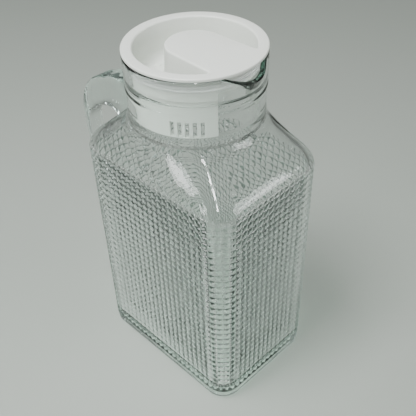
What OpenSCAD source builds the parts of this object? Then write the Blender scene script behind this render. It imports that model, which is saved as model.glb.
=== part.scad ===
// Rectangular glass fridge jug: tapered body, round neck with a pinched spout, loop handle
// at the back, and a recessed plastic lid with a soft seal and a strainer skirt.
// +Z is up, the origin is the centre of the resting face, and the spout points along -Y.

/* [Glass body] */
// Width of the body at its shoulder, along X
body_w = 98; // [88:1:125]
// Depth of the body at its shoulder, along Y
body_d = 136; // [112:1:165]
// Height of the shoulder's lower edge above the table
shoulder_z = 179; // [145:1:220]
// Height of the sloping shoulder
shoulder_h = 27; // [20:1:36]
// How far each wall leans in from shoulder to foot
draft = 1.6; // [0:0.1:3]
// Radius of the upright corners
corner_r = 17; // [10:0.5:24]
// Rounding under the foot
foot_r = 5; // [2:0.5:8]
// Thickness of the glass walls
wall = 4; // [3:0.1:5]
// Thickness of the glass floor
floor_t = 7; // [4:0.5:12]

/* [Neck and spout] */
// Outer radius of the neck
neck_r = 44.3; // [36:0.1:54]
// Thickness of the neck's wall, round the throat where the lid's skirt hangs
neck_wall = 4.3; // [3:0.1:6]
// How much wider the bore is above its ledge, where the lid's plug sits
bore_step = 1; // [0.5:0.1:1.5]
// Height of the neck up to the ledge in its bore
neck_h = 32; // [24:0.5:40]
// How much wider the collar round the rim is than the neck
collar_step = 0.7; // [0.3:0.1:2]
// Height of the collar, and of the wide bore inside it
collar_h = 15.4; // [14:0.1:20]
// Radius of the round channel of the spout
spout_r = 16; // [11:0.5:19]
// Thickness of the glass round the spout
spout_wall = 3; // [2:0.1:4]
// How far the lip stands out from the collar
spout_reach = 6.8; // [3:0.1:10]
// How far the lip dips below the rim
spout_dip = 4.5; // [2:0.1:6]
// Lean of the spout from upright
spout_tilt = 35; // [25:1:42]

/* [Handle] */
// Distance from the back wall to the outside of the grip bar
handle_reach = 56; // [44:1:68]
// Height of the loop's foot below the shoulder's edge
handle_drop = 84; // [66:1:100]
// Width of the handle across X
handle_w = 13.5; // [10:0.5:18]
// Thickness of the upright bar
bar_t = 7.5; // [5:0.25:11]
// Depth of the upper arm where it meets the shoulder
arm_t = 24; // [16:0.5:27]
// Depth of the fillet below the upper arm, where it runs into the back wall
arm_fillet = 10; // [4:0.5:14]
// Depth of the lower arm where it meets the wall
foot_t = 14; // [9:0.5:20]

/* [Lid] */
// How far the flat flange stands out past the collar
flange_step = 0; // [-1:0.1:4]
// Thickness of the flange
flange_t = 2.2; // [1.5:0.1:3.5]
// Thickness of the lid's walls
lid_t = 1.8; // [1.2:0.1:2.5]
// Gap between the lid and the glass, round the plug and round the skirt
plug_gap = 1; // [0.6:0.1:1.5]
// Gap between the lid's plug and the ledge in the bore
ledge_gap = 0.6; // [0.4:0.1:1]
// Running gap round the soft seal, to the neck's bore and to its groove
seal_gap = 0.1; // [0.05:0.01:0.15]
// Height of the soft seal
seal_h = 4; // [3:0.25:5]
// Depth of the seal's groove in the plug's wall
groove_t = 0.8; // [0.5:0.1:1.2]
// Distance from the rim down to the seal's groove
seal_drop = 4; // [3:0.25:5]
// Depth of the finger recess
recess_h = 23.5; // [17:0.5:28]
// Length of the skirt below the rim
skirt_h = 40; // [32:0.5:50]
// Radius of the round end of the grip
grip_r = 18.5; // [13:0.5:20]
// How much the grip widens on each side towards the spout
grip_flare = 1.5; // [0:0.25:3]
// Half angle of the pouring window
window_angle = 26; // [18:1:30]
// Number of strainer slots
slot_count = 5; // [2:1:8]
// Width of a strainer slot
slot_w = 2.4; // [1.5:0.1:3]
// Height of a strainer slot
slot_h = 9.5; // [6:0.5:12]
// Pitch of the strainer slots, in degrees round the skirt
slot_pitch = 6.6; // [5:0.1:9]

/* [Hidden] */
$fn = 96;
eps = 0.01;
glass_colour = [0.74, 0.86, 0.80, 0.55];
lid_colour = [0.94, 0.95, 0.94];
seal_colour = [0.85, 0.87, 0.86];

// heights that follow from the sizes above
neck_z = shoulder_z + shoulder_h;
collar_z = neck_z + neck_h;
rim_z = collar_z + collar_h;
lid_z = rim_z + flange_t;
recess_z = lid_z - recess_h;
skirt_z = rim_z - skirt_h;
groove_z = rim_z - seal_drop - seal_h - 2 * seal_gap;
window_z = groove_z - seal_gap - lid_t;
back_y = body_d / 2;

// radii that follow from them
throat_r = neck_r - neck_wall;
bore_r = throat_r + bore_step;
collar_r = neck_r + collar_step;
flange_r = collar_r + flange_step;
plug_r = bore_r - plug_gap;
skirt_r = throat_r - plug_gap;
plug_in_r = skirt_r - lid_t;
groove_r = plug_r - groove_t;
seal_r = bore_r - seal_gap;

// the shoulder's outline: [share of its height, share of the way in to the neck]
shoulder_curve = [[0, 0], [0.09, 0.03], [0.18, 0.12], [0.58, 0.56], [0.9, 0.92], [1, 1]];
// the foot's rounding, in steps of a quarter circle
foot_steps = 3;
corner_steps = 10;
// how far the shoulder's top lies inside the neck's wall, and the handle's ends inside the walls
tuck = wall / 4;
root = wall * 1.5;
// the spout's bar starts and ends this many collar heights below and above the lip
bar_below = 1.6;
bar_above = 0.8;
// points round the handle's section, its squareness, and stations along each half of its loop
section_steps = 20;
section_power = 0.6;
loop_steps = 14;
// heights of the bar's outermost points outside and inside, as shares of the handle's drop
bar_middle = [0.24, 0.3];
// how the loop's curves are pulled, as shares of its reach: [out along the arm, up the bar]
// outside and inside, then [down the bar, out along the foot, up along the foot]
arm_pull = [[0.57, 0.54], [0.25, 0.42]];
foot_pull = [0.75, 0.64, 0.07];
// how far the arm falls on its way out, as a share of its height, and its fillet's rise
arm_fall = 0.82;
fillet_rise = 1.6;
// points round the grip's end
grip_steps = 32;
// how far the shoulder runs up inside the neck's wall, and the neck down over the shoulder
overlap = 2;

function mix(a, b, t) = a + (b - a) * t;

// a ring of points: a rectangle w by d with corners of radius r, at height z
function ring(w, d, r, z) = [
    for (k = [0:3], i = [0:corner_steps - 1])
        let (
            a = 90 * k + 90 * (i + 0.5) / corner_steps,
            cx = (k == 0 || k == 3 ? 1 : -1) * (w / 2 - r),
            cy = (k < 2 ? 1 : -1) * (d / 2 - r)
        )
        [cx + r * cos(a), cy + r * sin(a), z]
];

// a closed solid through a list of rings, lowest first
module loft(rings) {
    n = len(rings[0]);
    m = len(rings);
    polyhedron(
        points = [for (row = rings) each row],
        faces = [
            [for (i = [0:n - 1]) i],
            for (j = [0:m - 2], i = [0:n - 1])
                [j * n + i, (j + 1) * n + i, (j + 1) * n + (i + 1) % n, j * n + (i + 1) % n],
            [for (i = [n - 1:-1:0]) (m - 1) * n + i]
        ],
        convexity = 4
    );
}

// the walls' rings, all moved in by inset: foot, upright wall, shoulder up to a neck of top_r
function body_rings(inset, bottom, fillet, drop, top_r) =
    let (
        w = body_w - 2 * inset,
        d = body_d - 2 * inset,
        r = corner_r - inset,
        edge = shoulder_z - drop,
        rise = neck_z - edge
    )
    concat(
        [for (i = [0:foot_steps])
            let (
                a = 90 * i / foot_steps,
                in = draft + fillet * (1 - sin(a)),
                h = bottom + fillet * (1 - cos(a))
            )
            ring(w - 2 * in, d - 2 * in, r - fillet * (1 - sin(a)), h)],
        [for (s = shoulder_curve)
            ring(
                mix(w, 2 * top_r, s[1]),
                mix(d, 2 * top_r, s[1]),
                mix(r, top_r, s[1]),
                edge + rise * s[0]
            )],
        [ring(2 * top_r, 2 * top_r, top_r, neck_z + overlap)]
    );

// the outside of the glass without its spout
module glass_outside() {
    loft(body_rings(0, 0, foot_r, 0, neck_r - tuck));
    translate([0, 0, neck_z - overlap / 4]) cylinder(r = neck_r, h = neck_h + overlap);
    translate([0, 0, collar_z]) cylinder(r = collar_r, h = collar_h);
}

// a leaning round bar whose outermost line reaches the lip's height at reach
module spout_bar(r, reach) {
    lip_z = rim_z - spout_dip;
    centre_y = -reach + r / cos(spout_tilt);
    translate([0, centre_y, lip_z])
        rotate([spout_tilt, 0, 0]) translate([0, 0, -collar_h * bar_below])
            cylinder(r = r, h = collar_h * (bar_below + bar_above));
}

// Pressed glass vessel: one piece of glass, open at the neck
module glass_body() {
    lip_y = collar_r + spout_reach;
    fall_y = bore_r - overlap;
    // the spout starts this far below the collar, inside the neck's wall
    spout_drop = neck_wall;
    color(glass_colour) difference() {
        union() {
            glass_outside();
            intersection() {
                spout_bar(spout_r + spout_wall, lip_y);
                translate([-collar_r, -2 * collar_r, collar_z - spout_drop])
                    cube([2 * collar_r, 2 * collar_r, collar_h + spout_drop]);
            }
        }
        loft(body_rings(wall, floor_t, foot_r, wall / 2, throat_r - tuck));
        translate([0, 0, neck_z - overlap / 4]) cylinder(r = throat_r, h = rim_z);
        translate([0, 0, collar_z]) cylinder(r = bore_r, h = rim_z);
        spout_bar(spout_r, lip_y - spout_wall);
        // the lip falls away from the rim to its tip
        translate([0, -fall_y, rim_z])
            rotate([atan(spout_dip / (lip_y - fall_y)), 0, 0])
                translate([-collar_r, -collar_r, 0]) cube([2 * collar_r, collar_r, collar_h]);
    }
}

// point at t on a cubic curve
function curve(p, t) =
    pow(1 - t, 3) * p[0] + 3 * t * pow(1 - t, 2) * p[1] + 3 * t * t * (1 - t) * p[2] + pow(t, 3) * p[3];

// the loop's outside or inside, as [y, z] control points from the back wall's top edge:
// the upper half begins at start and leans towards the height up, the lower half ends inside
// the wall at low
function loop_points(start, up, pull, reach, mid, low) = [
    [start, [reach * pull[0], up], [reach, mid + reach * pull[1]], [reach, mid]],
    [[reach, mid], [reach, mid - reach * foot_pull[0]],
     [reach * foot_pull[1], low + reach * foot_pull[2]], [-wall, low]]
];
function loop_at(points, k) = curve(points[k < loop_steps ? 0 : 1], (k % loop_steps) / loop_steps);

// Loop handle: a gather of glass drawn from the shoulder down to the back wall
module glass_handle() {
    // the arm grows out of the shoulder, from the foot of the neck down to arm_t below it
    arm_top = [neck_r - tuck - back_y, shoulder_h + root];
    arm_low = [-root, shoulder_h - wall - arm_t - arm_fillet];
    outside = loop_points(arm_top, arm_top[1] * arm_fall, arm_pull[0], handle_reach,
        -handle_drop * bar_middle[0], -handle_drop - foot_t / 2);
    inside = loop_points(arm_low, arm_low[1] + arm_fillet * fillet_rise, arm_pull[1], handle_reach - bar_t,
        -handle_drop * bar_middle[1], -handle_drop + foot_t / 2);
    last = 2 * loop_steps - 1;
    rings = [
        for (k = [0:last])
            let (
                o = loop_at(outside, k),
                i = loop_at(inside, k),
                middle = (o + i) / 2,
                half = (o - i) / 2
            )
            [for (j = [0:section_steps - 1])
                let (
                    a = -360 * j / section_steps,
                    x = handle_w / 2 * sign(cos(a)) * pow(abs(cos(a)), section_power),
                    s = sign(sin(a)) * pow(abs(sin(a)), section_power)
                )
                [x, back_y + middle[0] + half[0] * s, shoulder_z + middle[1] + half[1] * s]]
    ];
    color(glass_colour) difference() {
        loft(rings);
        glass_outside();
    }
}

// the grip's outline, moved in by inset; it runs from its round end to the plug's wall
module grip_outline(inset) {
    r = grip_r - inset;
    polygon([
        for (k = [0:grip_steps]) let (a = 180 * k / grip_steps) [r * cos(a), r * sin(a)],
        [-r - grip_flare, -plug_r],
        [r + grip_flare, -plug_r]
    ]);
}

// the pouring window: a wedge on the spout's side, from low to high
module pouring_window(low, high) {
    side = 2 * plug_r;
    translate([0, 0, low]) linear_extrude(high - low)
        polygon([[0, 0], [side * sin(window_angle), -side * cos(window_angle)],
                 [-side * sin(window_angle), -side * cos(window_angle)]]);
}

// Soft seal: a ring with two lips that grips the bore, in which the lid's plug turns
module lid_seal() {
    lip = seal_h / 4;
    lip_step = plug_gap - 2 * seal_gap;
    color(seal_colour) translate([0, 0, groove_z + seal_gap]) difference() {
        cylinder(r = seal_r, h = seal_h);
        translate([0, 0, lip]) difference() {
            cylinder(r = 2 * seal_r, h = seal_h - 2 * lip);
            translate([0, 0, -eps]) cylinder(r = seal_r - lip_step, h = seal_h);
        }
        translate([0, 0, -eps]) cylinder(r = groove_r + seal_gap, h = seal_h + 2 * eps);
    }
}

// Lid moulding: flange, plug wall with the seal's groove, and the floor of the finger recess
module lid_cap() {
    floor_z = recess_z - lid_t;
    color(lid_colour) difference() {
        union() {
            translate([0, 0, rim_z]) cylinder(r = flange_r, h = flange_t);
            translate([0, 0, collar_z + ledge_gap]) cylinder(r = plug_r, h = collar_h);
            translate([0, 0, floor_z]) cylinder(r = skirt_r, h = rim_z - floor_z);
        }
        translate([0, 0, groove_z]) difference() {
            cylinder(r = bore_r, h = seal_h + 2 * seal_gap);
            translate([0, 0, -eps]) cylinder(r = groove_r, h = 2 * seal_h);
        }
        translate([0, 0, recess_z]) cylinder(r = plug_in_r, h = lid_z);
        translate([0, 0, floor_z - eps]) linear_extrude(lid_t + 2 * eps) intersection() {
            grip_outline(lid_t);
            circle(r = plug_in_r);
        }
        intersection() {
            pouring_window(floor_z - eps, window_z);
            translate([0, 0, floor_z - 2 * eps]) difference() {
                cylinder(r = bore_r, h = lid_z);
                translate([0, 0, -eps]) cylinder(r = plug_in_r - eps, h = 2 * lid_z);
            }
        }
    }
}

// Raised hollow grip: flush with the flange, and open below as the pouring channel
module lid_grip() {
    color(lid_colour) intersection() {
        difference() {
            translate([0, 0, recess_z]) linear_extrude(recess_h) grip_outline(0);
            translate([0, 0, recess_z - eps]) linear_extrude(recess_h - lid_t) grip_outline(lid_t);
        }
        translate([0, 0, recess_z]) cylinder(r = plug_in_r, h = recess_h);
    }
}

// Strainer skirt: hangs below the recess, cut away at the window and slotted beside it
module lid_strainer() {
    top_z = recess_z - lid_t;
    slot_z = skirt_z + lid_t;
    first = window_angle + 2 * slot_pitch;
    color(lid_colour) difference() {
        translate([0, 0, skirt_z]) cylinder(r = skirt_r, h = top_z - skirt_z);
        translate([0, 0, skirt_z - eps]) cylinder(r = plug_in_r, h = top_z);
        pouring_window(skirt_z - eps, top_z + eps);
        for (k = [0:slot_count - 1])
            rotate([0, 0, -first - k * slot_pitch])
                translate([-slot_w / 2, -bore_r, slot_z]) cube([slot_w, 2 * lid_t + plug_gap, slot_h]);
    }
}

glass_body();
glass_handle();
lid_seal();
lid_cap();
lid_grip();
lid_strainer();
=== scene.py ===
import math

import bmesh
import bpy
import numpy as np
from mathutils import Matrix, Vector


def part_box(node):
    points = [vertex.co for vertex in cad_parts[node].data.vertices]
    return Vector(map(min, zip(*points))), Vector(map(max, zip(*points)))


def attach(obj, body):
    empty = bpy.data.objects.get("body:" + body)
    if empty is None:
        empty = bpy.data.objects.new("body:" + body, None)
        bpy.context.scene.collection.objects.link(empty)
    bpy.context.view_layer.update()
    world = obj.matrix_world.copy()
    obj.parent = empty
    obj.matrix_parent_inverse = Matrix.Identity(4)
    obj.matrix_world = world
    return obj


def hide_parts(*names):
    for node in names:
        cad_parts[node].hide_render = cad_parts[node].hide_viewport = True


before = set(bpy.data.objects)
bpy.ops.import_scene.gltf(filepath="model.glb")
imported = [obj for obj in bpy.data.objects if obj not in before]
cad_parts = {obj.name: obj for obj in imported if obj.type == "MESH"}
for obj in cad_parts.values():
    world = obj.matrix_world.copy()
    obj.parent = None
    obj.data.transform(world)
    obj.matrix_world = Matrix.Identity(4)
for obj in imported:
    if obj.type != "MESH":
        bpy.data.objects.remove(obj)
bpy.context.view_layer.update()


# ---------------------------------------------------------------------------
# Glass vessel and handle
# Soda glass with a faint green cast, pressed in a mould: a rectangular body with rows of small
# raised pyramids, a smooth shoulder, a round neck and a pinched spout. The handle is a gather of
# the same glass, fused on at the back, so vessel and handle are one closed mesh.
# ---------------------------------------------------------------------------
MM = 0.001
half_w, half_d, rim_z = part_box("glass_body")[1]
rim_top = rim_z - 0.15 * MM  # the rim is rounded over just below the lid's flange
# heights of the shoulder's lower edge, the bottom of the neck, and the ledge in its bore
shoulder_z, neck_z, ledge_z = 179 * MM, 206 * MM, 238 * MM
corner_r, draft, wall = 17 * MM, 1.6 * MM, 3.8 * MM
foot_r, push_up, floor_z, floor_fillet = 5 * MM, 1.4 * MM, 7 * MM, 8 * MM
# outside: the neck and the collar; inside: the throat below the ledge and the bore above it
neck_r, collar_r, throat_r, bore_r = 44.3 * MM, 45 * MM, 40 * MM, 41 * MM

# the pattern: pyramids round the body, rows up it, and points across each pyramid
columns, rows, samples = 88, 33, 4
around = columns * samples
pattern_low, pattern_high = 8 * MM, 178 * MM
pyramid_h, pyramid_power = 1.15 * MM, 1.6  # a power above 1 makes valleys sharper than peaks

# soft ridges round the neck: height in mm, place and half width as shares of the neck's height
neck_ridges = [(0.6, 0.77, 0.045), (0.4, 0.89, 0.03), (-0.5, 0.31, 0.045)]
collar_at, collar_sharpness = 0.95, 26
# rings up the neck, closer together where it is ridged: from, to and step in mm
neck_steps = [(208, 213, 2.5), (213, 219, 0.55), (219, 228, 2.5), (228, 239.5, 0.55)]

spout_reach, spout_dip, spout_half_angle = 6.8 * MM, 4.6 * MM, math.radians(27)

# the handle's outlines, out from the back wall and up from the shoulder's edge, in mm: each is two
# curves of four control points, from the shoulder round the grip bar to the foot on the back wall
handle_over = ([(-25.1, 34), (34, 27), (56, 12), (56, -20.2)],
               [(56, -20.2), (56, -62), (36, -87), (-2.5, -90)])
handle_below = ([(-2.5, -11), (12, 5), (48.5, -5), (48.5, -25.2)],
                [(48.5, -25.2), (48.5, -61), (31, -73), (-2.5, -77)])
handle_w = 13.5 * MM
handle_stations, handle_points = 96, 48
handle_squareness = 0.4  # of its section: 0 is a rectangle, 1 is an ellipse
root_depth = 8 * MM  # how far the handle's upper end is run into the shoulder


def spread_round(count):
    """Each point of a rounded rectangle: share of the way round, place on the core, and normal."""
    share = np.arange(count) / count
    side_d, arc, side_w = half_d - corner_r, corner_r * math.pi / 2, half_w - corner_r
    quarter = side_d + arc + side_w
    place = (share * 4 % 1) * quarter
    turn = (share * 4).astype(int)
    flip = turn % 2 == 1
    place = np.where(flip, quarter - place, place)
    angle = np.clip((place - side_d) / arc, 0, 1) * math.pi / 2
    core_x, core_y = np.clip((quarter - place) / side_w, 0, 1), np.clip(place / side_d, 0, 1)
    normal = np.stack([np.cos(angle), np.sin(angle)], 1)
    sign_x = np.where((turn == 1) | (turn == 2), -1, 1)
    sign_y = np.where(turn >= 2, -1, 1)
    signs = np.stack([sign_x, sign_y], 1)
    return share, np.stack([core_x, core_y], 1) * signs, normal * signs


share_round, core_round, normal_round = spread_round(around)
turn_round = 2 * math.pi * share_round
circle_round = np.stack([np.cos(turn_round), np.sin(turn_round)], 1)


def box_ring(inset, z, raised=0.0):
    """A ring of the body's outline at height z, moved in by inset; raised moves points outwards."""
    least_r = 3 * MM
    radius = max(corner_r - inset, least_r)
    size = np.array([half_w - inset - radius, half_d - inset - radius])
    flat = core_round * size + normal_round * (radius + np.reshape(raised, (-1, 1)))
    return np.column_stack([flat, np.full(around, z)])


def round_ring(radius, z):
    """A ring of the neck."""
    return np.column_stack([circle_round * radius, np.full(around, z)])


def hump(tall, off, half):
    """A smooth hump: tall in its middle, and falling off over the length half."""
    return tall * math.exp(-((off / half) ** 2))


def lean(z):
    """How far the wall has come in from its shoulder at height z."""
    return draft * (1 - z / shoulder_z)


def quadratic(a, b, c, steps):
    """Points on a curve from a to c that b pulls towards itself."""
    t = np.arange(steps + 1)[:, None] / steps
    return (1 - t) ** 2 * np.array(a) + 2 * t * (1 - t) * np.array(b) + t**2 * np.array(c)


def shoulder_rings(inset, radius, low, high):
    """Rings from the body's outline at height low to the neck's circle at height high."""
    # pairs: share of the way from outline to circle, and share of the height
    turn_in = quadratic((0, -0.10), (0, 0.08), (0.26, 0.29), 7)
    slope = [(b, 0.29 + (b - 0.26) * 0.955) for b in (0.36, 0.46, 0.56, 0.66, 0.76)]
    turn_up = quadratic((0.84, 0.845), (1, 0.99), (1, 1.22), 7)
    rings = []
    for blend, height in [*turn_in, *slope, *turn_up]:
        z = low + (high - low) * height
        square = box_ring(inset, z)
        rings.append(square * (1 - blend) + round_ring(radius, z) * blend)
    return rings


def pattern_rings():
    """The patterned wall: pyramids that stand half proud of it, with valleys half sunk in."""
    across = np.abs(np.arange(around) % samples * 2 / samples - 1)
    rings = []
    for step in range(rows * samples + 1):
        up = abs(step % samples * 2 / samples - 1)
        z = pattern_low + (pattern_high - pattern_low) * step / (rows * samples)
        raised = pyramid_h * (0.5 - np.maximum(across, up) ** pyramid_power)
        rings.append(box_ring(lean(z), z, raised))
    return rings


def foot_rings():
    """The underside, pushed up in the middle, and the rounding from it to the wall."""
    rest = 9 * MM  # how far in from the wall the jug stands
    rings = [box_ring(rest + 4 * MM, push_up), box_ring(rest + 2 * MM, push_up * 0.85)]
    rings += [box_ring(rest, 0.2 * MM), box_ring(rest - 1.5 * MM, 0.0)]
    for step in range(7):
        a = math.radians(90 * step / 6)
        inset = draft + foot_r * (1 - math.sin(a))
        rings.append(box_ring(inset, foot_r * (1 - math.cos(a))))
    return rings


def neck_rings():
    """The neck's outside, with the soft ridges that the mould leaves, then the collar and rim."""
    line = []
    for z in np.concatenate([np.arange(*steps) for steps in neck_steps]) * MM:
        up = (z - neck_z) / (ledge_z - neck_z)
        ridge = sum(hump(tall * MM, up - at, half) for tall, at, half in neck_ridges)
        widen = (collar_r - neck_r) / (1 + math.exp((collar_at - up) * collar_sharpness))
        line.append((neck_r + ridge + widen, z))
    line += [(collar_r, ledge_z + 6 * MM), (collar_r, rim_z - 4 * MM)]
    line += [*quadratic((collar_r, rim_z - 2 * MM), (collar_r, rim_top),
                        (collar_r - 1.6 * MM, rim_top), 5)]
    return [round_ring(r, z) for r, z in line]


def inner_rings():
    """The inside: rim, wide bore, sloping ledge, throat, shoulder, walls and filleted floor."""
    line = [*quadratic((bore_r + 1 * MM, rim_top), (bore_r, rim_top),
                       (bore_r, rim_z - 1.4 * MM), 4)]
    line += [(bore_r, rim_z - 8 * MM), (bore_r, ledge_z + 1.6 * MM)]
    line += [*quadratic((bore_r, ledge_z + 0.8 * MM), (bore_r - 0.1 * MM, ledge_z - 0.4 * MM),
                        (throat_r, ledge_z - 2.4 * MM), 8)]
    line += [(throat_r, z) for z in (ledge_z - 5 * MM, ledge_z - 12 * MM, neck_z + 12 * MM)]
    rings = [round_ring(r, z) for r, z in line]
    rings += shoulder_rings(wall, throat_r, shoulder_z - wall / 2, neck_z - wall / 4)[::-1]
    for share in (0.8, 0.6, 0.4, 0.2):
        rings.append(box_ring(wall + lean(shoulder_z * share), shoulder_z * share))
    for step in range(9):
        a = math.radians(90 * step / 8)
        inset = wall + draft + floor_fillet * (1 - math.cos(a))
        rings.append(box_ring(inset, floor_z + floor_fillet * (1 - math.sin(a))))
    return rings


def pinch_spout(points):
    """Draws the rim out and down into a lip on the -Y side."""
    # the lip grows out from a little below the ledge, and dips only close to the rim
    start = ledge_z - 4 * MM
    off = np.abs(np.arctan2(points[:, 0], -points[:, 1]))
    wide = np.clip(1 - (off / spout_half_angle) ** 2, 0, 1) ** 1.6
    rise = np.clip((points[:, 2] - start) / (rim_z - start), 0, 1)
    points[:, 1] -= spout_reach * wide * rise**1.5
    points[:, 2] -= spout_dip * wide * rise**3
    return points


def new_object(name, verts, faces):
    """A mesh object from points and faces."""
    mesh = bpy.data.meshes.new(name)
    mesh.from_pydata(verts, [], faces)
    mesh.update()
    piece = bpy.data.objects.new(name, mesh)
    bpy.context.scene.collection.objects.link(piece)
    return piece


def ring_faces(count, total, split=None):
    """Faces between rings of count points; rows first to last of split are cut along ridges."""
    faces = []
    for row in range(total - 1):
        low, high = row * count, (row + 1) * count
        for col in range(count):
            nxt = (col + 1) % count
            a, b, c, d = low + col, low + nxt, high + nxt, high + col
            if split is None or not split[0] <= row < split[1]:
                faces.append((a, b, c, d))
                continue
            half = samples // 2
            rising = (col % samples < half) == ((row - split[0]) % samples < half)
            faces += [(a, b, c), (a, c, d)] if rising else [(a, b, d), (b, c, d)]
    return faces


def tube(name, rings, split=None):
    """A closed solid through rings of points, with one face over each end."""
    count, total = len(rings[0]), len(rings)
    faces = ring_faces(count, total, split)
    faces.append(tuple(range(count))[::-1])
    faces.append(tuple(range((total - 1) * count, total * count)))
    return new_object(name, np.vstack(rings).tolist(), faces)


def cubic(points, t):
    """A point on a curve with four control points."""
    share = ((1 - t) ** 3, 3 * t * (1 - t) ** 2, 3 * t * t * (1 - t), t**3)
    return sum(part * np.array(point) for part, point in zip(share, points))


def handle_line(upper, lower, t):
    """A point on one of the handle's outlines, t from 0 at the shoulder to 2 at the foot."""
    return cubic(upper, t) if t < 1 else cubic(lower, t - 1)


def handle_rings():
    """Rings of the handle's rounded section; it flares where it is fused to the vessel."""
    turn = -2 * math.pi * np.arange(handle_points) / handle_points
    side = np.sign(np.cos(turn)) * np.abs(np.cos(turn)) ** handle_squareness
    thick = np.sign(np.sin(turn)) * np.abs(np.sin(turn)) ** handle_squareness
    rings = []
    for station in range(handle_stations + 1):
        t = 2 * station / handle_stations
        outside = handle_line(*handle_over, t) * MM
        inside = handle_line(*handle_below, t) * MM
        middle, half = (outside + inside) / 2, (outside - inside) / 2
        flare = 1 + hump(0.8, t, 0.2) + hump(0.5, 2 - t, 0.14)
        # the gather is lumpy where it was pressed on, and runs smooth from there
        lumpy = 0.012 + hump(0.06, t, 0.34)
        lumps = np.sin(3 * turn + 17 * t) * np.sin(2 * turn - 29 * t + 1)
        ripple = 1 + lumpy * (lumps + 0.6 * np.sin(5 * turn + 7 * t))
        x = side * ripple * handle_w / 2 * flare
        y = half_d + middle[0] + half[0] * thick * ripple
        z = shoulder_z + middle[1] + half[1] * thick * ripple
        rings.append(np.column_stack([x, y, z]))
    return [rings[0] - np.array([0, root_depth, 0])] + rings


def middle_of_wall():
    """The solid inside the middle of the shoulder's wall, where the handle's root ends."""
    low_z, high_z, middle_r = 140 * MM, neck_z + 20 * MM, (neck_r + throat_r) / 2
    bend = shoulder_rings(wall / 2, middle_r, shoulder_z - wall / 4, neck_z - wall / 8)
    low = box_ring(wall / 2 + lean(low_z), low_z)
    return tube("middle_of_wall", [low, *bend, round_ring(middle_r, high_z)])


def combine(piece, other, operation):
    """Joins other to piece, or cuts it away, and deletes other."""
    modifier = piece.modifiers.new("shape", "BOOLEAN")
    modifier.object, modifier.operation, modifier.solver = other, operation, "MANIFOLD"
    graph = bpy.context.evaluated_depsgraph_get()
    shaped = bpy.data.meshes.new_from_object(piece.evaluated_get(graph))
    piece.modifiers.clear()
    piece.data = shaped
    bpy.data.objects.remove(other)


def drop_slivers(piece):
    """Deletes the tiny loose slivers that joins and cuts can leave."""
    least_verts = 12
    shape = bmesh.new()
    shape.from_mesh(piece.data)
    seen, slivers = set(), []
    for first in shape.verts:
        if first in seen:
            continue
        seen.add(first)
        island, waiting = [], [first]
        while waiting:
            vert = waiting.pop()
            island.append(vert)
            for edge in vert.link_edges:
                near = edge.other_vert(vert)
                if near not in seen:
                    seen.add(near)
                    waiting.append(near)
        if len(island) < least_verts:
            slivers += island
    bmesh.ops.delete(shape, geom=slivers, context="VERTS")
    shape.to_mesh(piece.data)
    shape.free()


def smooth(piece, angle):
    """Smooth shading, with an edge kept sharp where its faces meet at more than angle degrees."""
    piece.data.shade_smooth()
    piece.data.set_sharp_from_angle(angle=math.radians(angle))


first_row = len(foot_rings())
vessel_rings = foot_rings() + pattern_rings() + shoulder_rings(0, neck_r, shoulder_z, neck_z)
vessel_rings += neck_rings() + inner_rings()
jug_glass = tube("jug_glass", vessel_rings, (first_row, first_row + rows * samples))
positions = np.empty(len(jug_glass.data.vertices) * 3)
jug_glass.data.vertices.foreach_get("co", positions)
positions = pinch_spout(positions.reshape(-1, 3))
jug_glass.data.vertices.foreach_set("co", positions.ravel())
handle = tube("handle", handle_rings())
combine(handle, middle_of_wall(), "DIFFERENCE")
combine(jug_glass, handle, "UNION")
drop_slivers(jug_glass)
smooth(jug_glass, 30)


class Shade:
    """A socket in one material's node tree, which Python's + and * work on."""

    def __init__(self, tree, socket=None):
        self.tree, self.socket = tree, socket

    def node(self, kind, settings=None, give=0, **values):
        """Adds a node: its settings first, then its sockets' values or links. Gives one output.

        A socket is named with _ for each space, or by its place, as in i0.
        """
        made = self.tree.nodes.new(kind)
        for key, value in (settings or {}).items():
            setattr(made, key, value)
        for key, value in values.items():
            place = int(key[1:]) if key[1:].isdigit() else key.replace("_", " ")
            if isinstance(value, Shade):
                self.tree.links.new(value.socket, made.inputs[place])
            else:
                made.inputs[place].default_value = value
        return Shade(self.tree, made.outputs[give]) if made.outputs else None

    def maths(self, operation, other):
        return self.node("ShaderNodeMath", {"operation": operation}, i0=self, i1=other)

    def __add__(self, other):
        return self.maths("ADD", other)

    def __mul__(self, other):
        return self.maths("MULTIPLY", other)

    __radd__, __rmul__ = __add__, __mul__


def new_material(name):
    """A material with no nodes, and a Shade that adds nodes to it."""
    material = bpy.data.materials.new(name)
    material.use_nodes = True
    material.node_tree.nodes.clear()
    return material, Shade(material.node_tree)


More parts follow.
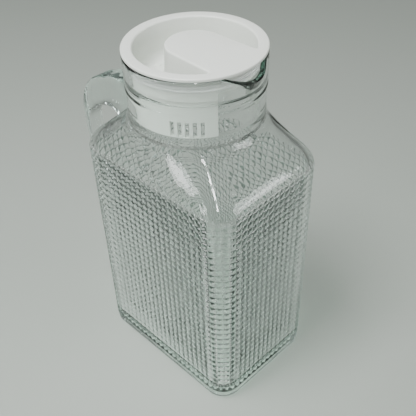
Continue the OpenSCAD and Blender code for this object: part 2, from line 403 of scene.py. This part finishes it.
def glass_material():
    """Pressed glass: clear, green where it is thick, with the slow waves that a mould leaves."""
    material, shade = new_material("pressed_glass")
    place = shade.node("ShaderNodeTexCoord", give="Object")
    waves = shade.node("ShaderNodeTexNoise", Vector=place, Scale=38.0, Detail=2.0, Roughness=0.5)
    fine = shade.node("ShaderNodeTexNoise", Vector=place, Scale=240.0, Detail=1.0)
    depth = shade.node("ShaderNodeSeparateXYZ", give="Y", Vector=place)
    # the handle is drawn by hand, so its surface is wavier than the moulded walls
    by_hand = shade.node("ShaderNodeMapRange", Value=depth, From_Min=half_d,
                         From_Max=half_d + 14 * MM)
    height = waves * (1 + by_hand * 1.6) + fine * 0.08
    bump = shade.node("ShaderNodeBump", Strength=0.35, Distance=0.0012, Height=height)
    glass = shade.node("ShaderNodeBsdfPrincipled", Base_Color=(1, 1, 1, 1), Roughness=0.02, IOR=1.5,
                       Transmission_Weight=1.0, Normal=bump)
    # light that falls through the walls keeps about two thirds at each surface
    clear = shade.node("ShaderNodeBsdfTransparent", Color=(0.66, 0.69, 0.67, 1))
    is_shadow = shade.node("ShaderNodeLightPath", give="Is Shadow Ray")
    mixed = shade.node("ShaderNodeMixShader", i0=is_shadow, i1=glass, i2=clear)
    tint = shade.node("ShaderNodeVolumeAbsorption", Color=(0.26, 0.80, 0.63, 1), Density=7.5)
    shade.node("ShaderNodeOutputMaterial", Surface=mixed, Volume=tint)
    return material


jug_glass.data.materials.clear()
jug_glass.data.materials.append(glass_material())
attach(jug_glass, "jug")
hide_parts("glass_body", "glass_handle")


# ---------------------------------------------------------------------------
# Lid seal
# A ring of milky silicone, moulded with two soft lips that press on the neck's bore. It is
# snapped into the groove in the plug's wall.
# ---------------------------------------------------------------------------
(_, _, seal_low), (seal_r, _, seal_high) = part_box("lid_seal")
groove_r, lip_r, seal_ease = 39.3 * MM, 0.75 * MM, 0.2 * MM


def turned_rings(profile, count):
    """Rings of count points about the Z axis, one for each (radius, height) of a profile."""
    turn = 2 * math.pi * np.arange(count) / count
    circle = np.column_stack([np.cos(turn), np.sin(turn)])
    return [np.column_stack([circle * r, np.full(count, z)]) for r, z in profile]


def ring_solid(name, profile, count=192):
    """A closed ring turned from a closed profile of (radius, height) points."""
    rings = turned_rings(profile, count)
    faces = ring_faces(count, len(rings))
    last = (len(rings) - 1) * count
    faces += [(last + a, last + (a + 1) % count, (a + 1) % count, a) for a in range(count)]
    return new_object(name, np.vstack(rings).tolist(), faces)


def seal_profile():
    """The seal's section: a flat band inside, and two rounded lips outside."""
    middle, lip = (seal_low + seal_high) / 2, (seal_high - seal_low) / 4
    points = [(groove_r, seal_low + seal_ease)]
    for centre in (middle - 1.25 * lip, middle + 1.25 * lip):
        for step in range(9):
            a = math.radians(-90 + 180 * step / 8)
            points.append((seal_r - lip_r + lip_r * math.cos(a), centre + 0.75 * lip * math.sin(a)))
    return points + [(groove_r, seal_high - seal_ease)]


jug_seal = ring_solid("jug_seal", seal_profile())
smooth(jug_seal, 60)


def silicone_material():
    """Milky soft silicone: a little waxy, with a faint bloom."""
    material, shade = new_material("milky_silicone")
    place = shade.node("ShaderNodeTexCoord", give="Object")
    bloom = shade.node("ShaderNodeTexNoise", Vector=place, Scale=300.0, Detail=2.0)
    skin = shade.node("ShaderNodeBsdfPrincipled", Base_Color=(0.78, 0.80, 0.78, 1),
                      Roughness=bloom * 0.15 + 0.40, Subsurface_Weight=0.4,
                      Subsurface_Radius=(0.004, 0.004, 0.004))
    shade.node("ShaderNodeOutputMaterial", Surface=skin)
    return material


jug_seal.data.materials.append(silicone_material())
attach(jug_seal, "seal")
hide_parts("lid_seal")


# ---------------------------------------------------------------------------
# Lid moulding
# White satin polypropylene, injection moulded: a flat flange, a deep finger recess round a raised
# D-shaped grip that is hollow below, and a skirt with strainer slots and a pouring window.
# ---------------------------------------------------------------------------
flange_r, _, lid_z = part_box("lid_cap")[1]
recess_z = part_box("lid_grip")[0][2]
skirt_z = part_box("lid_strainer")[0][2]
flange_under = rim_z  # the flange rests on the vessel's rim
skirt_r, plug_r, lid_t = 39 * MM, 40 * MM, 1.8 * MM
floor_under = recess_z - lid_t
pocket_r, pocket_fillet, pocket_lean, pocket_lip = 38 * MM, 6 * MM, 0.9 * MM, 1.3 * MM
grip_r, grip_flare = 18.5 * MM, 1.6 * MM
lid_edge, skirt_edge = 0.9 * MM, 0.5 * MM
window_half_angle, window_top = math.radians(26), floor_under + 13 * MM
# the strainer's slots stand beside the window, at turns from the spout
slot_w, slot_h, slot_count = 2.4 * MM, 9.5 * MM, 5
slot_turn, slot_pitch = math.radians(39.2), math.radians(6.6)
gate_r, gate_t, gate_place = 2.2 * MM, 0.4 * MM, (-4.8 * MM, 30 * MM, 0)
axis_r = 0.5 * MM  # a turned solid's end ring, next to its axis


def lathe(name, profile, count=192):
    """A closed solid turned from (radius, height) points that start and end at the axis."""
    return tube(name, turned_rings(profile, count))


def grip_line(inset):
    """The grip's outline from its spout end round its back; inset moves it in."""
    radius, front_y = grip_r - inset, -pocket_r * 1.1
    end = radius + grip_flare
    turn = np.linspace(0, math.pi, 49)
    back = np.column_stack([radius * np.cos(turn), radius * np.sin(turn)])
    sides = np.linspace(0, 1, 17)[1:, None]
    left = back[-1] * (1 - sides) + np.array([-end, front_y]) * sides
    right = back[0] * (1 - sides) + np.array([end, front_y]) * sides
    return np.vstack([right[::-1], back, left])


def rounded_line(line, count, soften):
    """Spreads points evenly along a closed line and rounds its corners over the length soften."""
    closed = np.vstack([line, line[:1]])
    along = np.concatenate([[0], np.cumsum(np.hypot(*np.diff(closed, axis=0).T))])
    even = np.linspace(0, along[-1], count, endpoint=False)
    points = np.column_stack([np.interp(even, along, closed[:, k]) for k in (0, 1)])
    reach = max(1, int(soften / (along[-1] / count)))
    weights = np.hanning(2 * reach + 3)[1:-1]
    weights /= weights.sum()
    return sum(w * np.roll(points, k - reach, axis=0) for k, w in enumerate(weights))


def pocket_line(inset):
    """The finger recess's outline: round its wall, then back along the grip; inset shrinks it."""
    radius = pocket_r - inset
    grip = grip_line(-inset)
    grip = grip[np.hypot(grip[:, 0], grip[:, 1]) < radius - 0.5 * MM]
    start, stop = math.atan2(*grip[0][::-1]), math.atan2(*grip[-1][::-1]) + 2 * math.pi
    turn = np.linspace(start, stop, 161)
    arc = np.column_stack([radius * np.cos(turn), radius * np.sin(turn)])
    return rounded_line(np.vstack([arc, grip[::-1]]), 320, 1.6 * MM + inset * 0.5)


def upright_ring(line, z):
    """A closed line of flat points, at height z."""
    return np.column_stack([line, np.full(len(line), z)])


def pocket_solid():
    """The solid that is cut out for the recess: filleted floor, leaning wall, rounded lip."""
    levels = []
    for step in range(9):
        a = math.radians(90 * step / 8)
        inset = pocket_fillet * (1 - math.sin(a)) + pocket_lean
        levels.append((inset, recess_z + pocket_fillet * (1 - math.cos(a))))
    for step in range(7):
        a = math.radians(90 * step / 6)
        levels.append((-pocket_lip * (1 - math.cos(a)), lid_z - pocket_lip * (1 - math.sin(a))))
    levels.append((-pocket_lip, lid_z + 2 * MM))
    return tube("pocket", [upright_ring(pocket_line(inset), z) for inset, z in levels])


def prism(name, line, low, high):
    """An upright solid over a closed line of points."""
    return tube(name, [upright_ring(line, z) for z in (low, high)])


def wedge(half_angle, low, high):
    """A wedge on the spout's side, from the axis out past the plug."""
    side = 2 * plug_r
    x, y = side * math.sin(half_angle), -side * math.cos(half_angle)
    return prism("wedge", [(0, 0), (-x, y), (x, y)], low, high)


def strainer_slot(turn):
    """A slot's solid through the skirt's wall, at a turn from the spout."""
    x, y = slot_w / 2, -plug_r
    line = [(-x, y), (x, y), (x, y + 4 * MM), (-x, y + 4 * MM)]
    slot = prism("slot", line, skirt_z + lid_t, skirt_z + lid_t + slot_h)
    slot.data.transform(Matrix.Rotation(-turn, 4, "Z"))
    return slot


def gate_mark():
    """The small round mark of the moulding gate, on the recess's floor."""
    bevel, top = gate_t / 2, recess_z + gate_t
    mark = lathe("gate", [(axis_r, recess_z - gate_t), (gate_r, recess_z - gate_t),
                          (gate_r, top - bevel), (gate_r - bevel, top), (axis_r, top)], 48)
    mark.data.transform(Matrix.Translation(gate_place))
    return mark


lid_profile = [(axis_r, skirt_z), (skirt_r - skirt_edge, skirt_z), (skirt_r, skirt_z + skirt_edge)]
lid_profile += [(skirt_r, ledge_z + 0.2 * MM), (plug_r - 0.3 * MM, ledge_z + 0.6 * MM)]
lid_profile += [(plug_r, ledge_z + 1 * MM), (plug_r, flange_under)]
lid_profile += [(flange_r - 0.4 * MM, flange_under), (flange_r, flange_under + 0.4 * MM)]
for step in range(7):
    a = math.radians(90 * step / 6)
    inset, below = lid_edge * (1 - math.cos(a)), lid_edge * (1 - math.sin(a))
    lid_profile.append((flange_r - inset, lid_z - below))
lid_profile.append((axis_r, lid_z))
jug_lid = lathe("jug_lid", lid_profile)
combine(jug_lid, pocket_solid(), "DIFFERENCE")

# the hollow skirt, and the channel below the grip that joins it to the window
hollow_r, hollow_low = skirt_r - lid_t, skirt_z - 5 * MM
hollow = lathe("hollow", [(axis_r, hollow_low), (hollow_r, hollow_low),
                          (hollow_r, floor_under), (axis_r, floor_under)])
combine(jug_lid, hollow, "DIFFERENCE")
channel = grip_line(lid_t)
channel = channel[np.hypot(channel[:, 0], channel[:, 1]) < hollow_r]
combine(jug_lid, prism("channel", channel, floor_under - lid_t, lid_z - lid_t), "DIFFERENCE")
combine(jug_lid, wedge(window_half_angle, skirt_z - 1 * MM, window_top), "DIFFERENCE")
for k in range(slot_count):
    combine(jug_lid, strainer_slot(slot_turn + k * slot_pitch), "DIFFERENCE")
combine(jug_lid, gate_mark(), "UNION")
drop_slivers(jug_lid)
smooth(jug_lid, 32)


def plastic_material():
    """Satin white plastic with the faint grain of a spark-eroded mould."""
    material, shade = new_material("satin_white_plastic")
    place = shade.node("ShaderNodeTexCoord", give="Object")
    grain = shade.node("ShaderNodeTexNoise", Vector=place, Scale=1600.0, Detail=2.0)
    cloud = shade.node("ShaderNodeTexNoise", Vector=place, Scale=45.0, Detail=2.0)
    bump = shade.node("ShaderNodeBump", Strength=0.12, Distance=0.0001, Height=grain)
    # a colour Mix: factor, first colour and second colour are sockets 0, 6 and 7
    tone = shade.node("ShaderNodeMix", {"data_type": "RGBA"}, give=2, i0=cloud,
                      i6=(0.70, 0.735, 0.685, 1), i7=(0.75, 0.782, 0.735, 1))
    skin = shade.node("ShaderNodeBsdfPrincipled", Base_Color=tone, Roughness=cloud * 0.10 + 0.34,
                      Normal=bump, Subsurface_Weight=0.15, Subsurface_Radius=(0.003, 0.003, 0.003))
    shade.node("ShaderNodeOutputMaterial", Surface=skin)
    return material


jug_lid.data.materials.clear()
jug_lid.data.materials.append(plastic_material())
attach(jug_lid, "lid")
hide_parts("lid_cap", "lid_grip", "lid_strainer")


# ---------------------------------------------------------------------------
# Stage
# A plain matt floor, pale grey-green, in a dim room with soft light that comes mostly from the
# left. The camera looks down on the jug from its front left.
# ---------------------------------------------------------------------------
side = 3.0
corners = [(-side, -side, 0), (side, -side, 0), (side, side, 0), (-side, side, 0)]
floor = new_object("floor", corners, [(0, 1, 2, 3)])
floor_paint, shade = new_material("floor_paint")
paint = shade.node("ShaderNodeBsdfPrincipled", Base_Color=(0.38, 0.42, 0.38, 1), Roughness=0.7)
shade.node("ShaderNodeOutputMaterial", Surface=paint)
floor.data.materials.append(floor_paint)

world = bpy.data.worlds.new("studio")
bpy.context.scene.world = world
world.use_nodes = True
room = world.node_tree.nodes["Background"]
room.inputs["Color"].default_value = (0.80, 0.82, 0.80, 1)
room.inputs["Strength"].default_value = 0.25


def direction(turn, climb):
    """The unit vector at a turn from -Y towards +X and a climb from level, both in degrees."""
    turn, climb = math.radians(turn), math.radians(climb)
    flat = math.cos(climb)
    return Vector((math.sin(turn) * flat, -math.cos(turn) * flat, math.sin(climb)))


def soft_light(name, turn, climb, away, width, height, power):
    """An area lamp that faces the jug's shoulder from a direction, at the distance away."""
    data = bpy.data.lights.new(name, "AREA")
    data.shape, data.size, data.size_y, data.energy = "RECTANGLE", width, height, power
    lamp = bpy.data.objects.new(name, data)
    bpy.context.scene.collection.objects.link(lamp)
    aim = direction(turn, climb)
    lamp.location = Vector((0, 0, 190 * MM)) + aim * away
    lamp.rotation_euler = (-aim).to_track_quat("-Z", "Y").to_euler()


soft_light("left window", -106, 8, 1.5, 0.42, 0.55, 7)
soft_light("left wall", -150, 24, 1.6, 0.9, 0.4, 4)
soft_light("ceiling strip", -46, 55, 1.8, 0.12, 0.5, 12)
soft_light("right window", 27, 12, 1.9, 0.9, 0.6, 12)
soft_light("overhead", -96, 68, 0.85, 0.34, 0.34, 10.5)

camera_turn, camera_climb, roll = -43.81, 39.76, math.radians(-1.86)
back, level = direction(camera_turn, camera_climb), direction(camera_turn + 90, 0)
above = back.cross(level)
right = level * math.cos(roll) + above * math.sin(roll)
upward = above * math.cos(roll) - level * math.sin(roll)
camera = bpy.data.objects.new("camera", bpy.data.cameras.new("camera"))
bpy.context.scene.collection.objects.link(camera)
camera.matrix_world = Matrix((
    (right.x, upward.x, back.x, -0.25993),
    (right.y, upward.y, back.y, -0.27785),
    (right.z, upward.z, back.z, 0.44271),
    (0, 0, 0, 1),
))
camera.data.sensor_width = 36
camera.data.lens = 59.4173
bpy.context.scene.camera = camera
